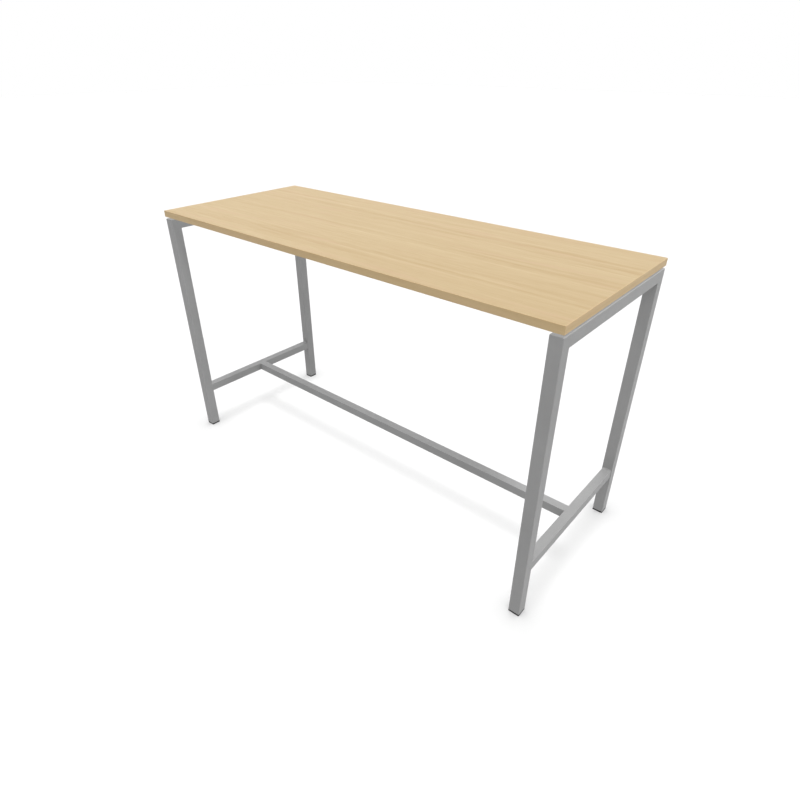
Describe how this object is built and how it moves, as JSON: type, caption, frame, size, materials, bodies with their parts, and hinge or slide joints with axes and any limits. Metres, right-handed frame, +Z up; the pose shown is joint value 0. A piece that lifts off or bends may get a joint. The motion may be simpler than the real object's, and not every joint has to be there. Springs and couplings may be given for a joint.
{
  "type": "standing meeting table",
  "caption": "Standing-height meeting table: rectangular wood-decor top floating on a square-tube frame, with a lengthwise footrest beam and screw-levelling feet.",
  "frame": {"origin": "on the floor, under the middle of the top", "axes": "+X along the table towards its right end as seen from the front, +Y across it towards the back, +Z up"},
  "size_m": [1.8, 0.7, 1.045],
  "materials": {
    "oak_decor": "pale oak decor paper on chipboard, satin, grain along the length",
    "oak_edge": "2 mm plastic edge strip in the same oak decor, satin",
    "frame_coat": "silver-grey fine-texture powder coat, satin",
    "bare_steel": "zinc-primed steel, dull",
    "zinc_steel": "bright zinc-plated steel",
    "black_plastic": "black moulded plastic, matt"
  },
  "bodies": {
    "table": {"top_panel": "oak_decor", "edge_band_front": "oak_edge", "edge_band_back": "oak_edge", "edge_band_left": "oak_edge", "edge_band_right": "oak_edge", "leg_front_left": "frame_coat", "leg_back_left": "frame_coat", "leg_front_right": "frame_coat", "leg_back_right": "frame_coat", "top_rail_left": "frame_coat", "top_rail_right": "frame_coat", "foot_rail_left": "frame_coat", "foot_rail_right": "frame_coat", "footrest_beam": "frame_coat", "top_stretcher_front": "frame_coat", "top_stretcher_back": "frame_coat", "spigot_footrest_left": "bare_steel", "spigot_footrest_right": "bare_steel", "spigot_stretcher_front_left": "bare_steel", "spigot_stretcher_front_right": "bare_steel", "spigot_stretcher_back_left": "bare_steel", "spigot_stretcher_back_right": "bare_steel", "lock_screw_footrest_left": "zinc_steel", "lock_screw_footrest_right": "zinc_steel", "lock_screw_stretcher_front_left": "zinc_steel", "lock_screw_stretcher_front_right": "zinc_steel", "lock_screw_stretcher_back_left": "zinc_steel", "lock_screw_stretcher_back_right": "zinc_steel", "spacer_rail_left_front": "black_plastic", "spacer_rail_left_back": "black_plastic", "spacer_rail_right_front": "black_plastic", "spacer_rail_right_back": "black_plastic", "spacer_stretcher_front_left": "black_plastic", "spacer_stretcher_front_right": "black_plastic", "spacer_stretcher_back_left": "black_plastic", "spacer_stretcher_back_right": "black_plastic", "fixing_screw_rail_left_front": "zinc_steel", "fixing_screw_rail_left_back": "zinc_steel", "fixing_screw_rail_right_front": "zinc_steel", "fixing_screw_rail_right_back": "zinc_steel", "fixing_screw_stretcher_front_left": "zinc_steel", "fixing_screw_stretcher_front_right": "zinc_steel", "fixing_screw_stretcher_back_left": "zinc_steel", "fixing_screw_stretcher_back_right": "zinc_steel", "foot_insert_front_left": "black_plastic", "foot_insert_back_left": "black_plastic", "foot_insert_front_right": "black_plastic", "foot_insert_back_right": "black_plastic"},
    "glide_front_left": {"foot_glide_front_left": "black_plastic"},
    "spindle_front_left": {"foot_spindle_front_left": "zinc_steel"},
    "glide_back_left": {"foot_glide_back_left": "black_plastic"},
    "spindle_back_left": {"foot_spindle_back_left": "zinc_steel"},
    "glide_front_right": {"foot_glide_front_right": "black_plastic"},
    "spindle_front_right": {"foot_spindle_front_right": "zinc_steel"},
    "glide_back_right": {"foot_glide_back_right": "black_plastic"},
    "spindle_back_right": {"foot_spindle_back_right": "zinc_steel"}
  },
  "joints": [
    {"name": "foot_travel_front_left", "type": "slide", "parent": "table", "child": "glide_front_left", "axis": [0, 0, -1], "range_m": [0, 0.015]},
    {"name": "spindle_turn_front_left", "type": "hinge", "parent": "glide_front_left", "child": "spindle_front_left", "pos_m": [-0.88, -0.328, 0.0025], "axis": [0, 0, -1], "range_deg": [0, 3600]},
    {"name": "foot_travel_back_left", "type": "slide", "parent": "table", "child": "glide_back_left", "axis": [0, 0, -1], "range_m": [0, 0.015]},
    {"name": "spindle_turn_back_left", "type": "hinge", "parent": "glide_back_left", "child": "spindle_back_left", "pos_m": [-0.88, 0.328, 0.0025], "axis": [0, 0, -1], "range_deg": [0, 3600]},
    {"name": "foot_travel_front_right", "type": "slide", "parent": "table", "child": "glide_front_right", "axis": [0, 0, -1], "range_m": [0, 0.015]},
    {"name": "spindle_turn_front_right", "type": "hinge", "parent": "glide_front_right", "child": "spindle_front_right", "pos_m": [0.88, -0.328, 0.0025], "axis": [0, 0, -1], "range_deg": [0, 3600]},
    {"name": "foot_travel_back_right", "type": "slide", "parent": "table", "child": "glide_back_right", "axis": [0, 0, -1], "range_m": [0, 0.015]},
    {"name": "spindle_turn_back_right", "type": "hinge", "parent": "glide_back_right", "child": "spindle_back_right", "pos_m": [0.88, 0.328, 0.0025], "axis": [0, 0, -1], "range_deg": [0, 3600]}
  ],
  "couplings": [
    {"joint": "spindle_turn_front_left", "follows": "foot_travel_front_left", "rad_per_m": 4188.8},
    {"joint": "spindle_turn_back_left", "follows": "foot_travel_back_left", "rad_per_m": 4188.8},
    {"joint": "spindle_turn_front_right", "follows": "foot_travel_front_right", "rad_per_m": 4188.8},
    {"joint": "spindle_turn_back_right", "follows": "foot_travel_back_right", "rad_per_m": 4188.8}
  ]
}
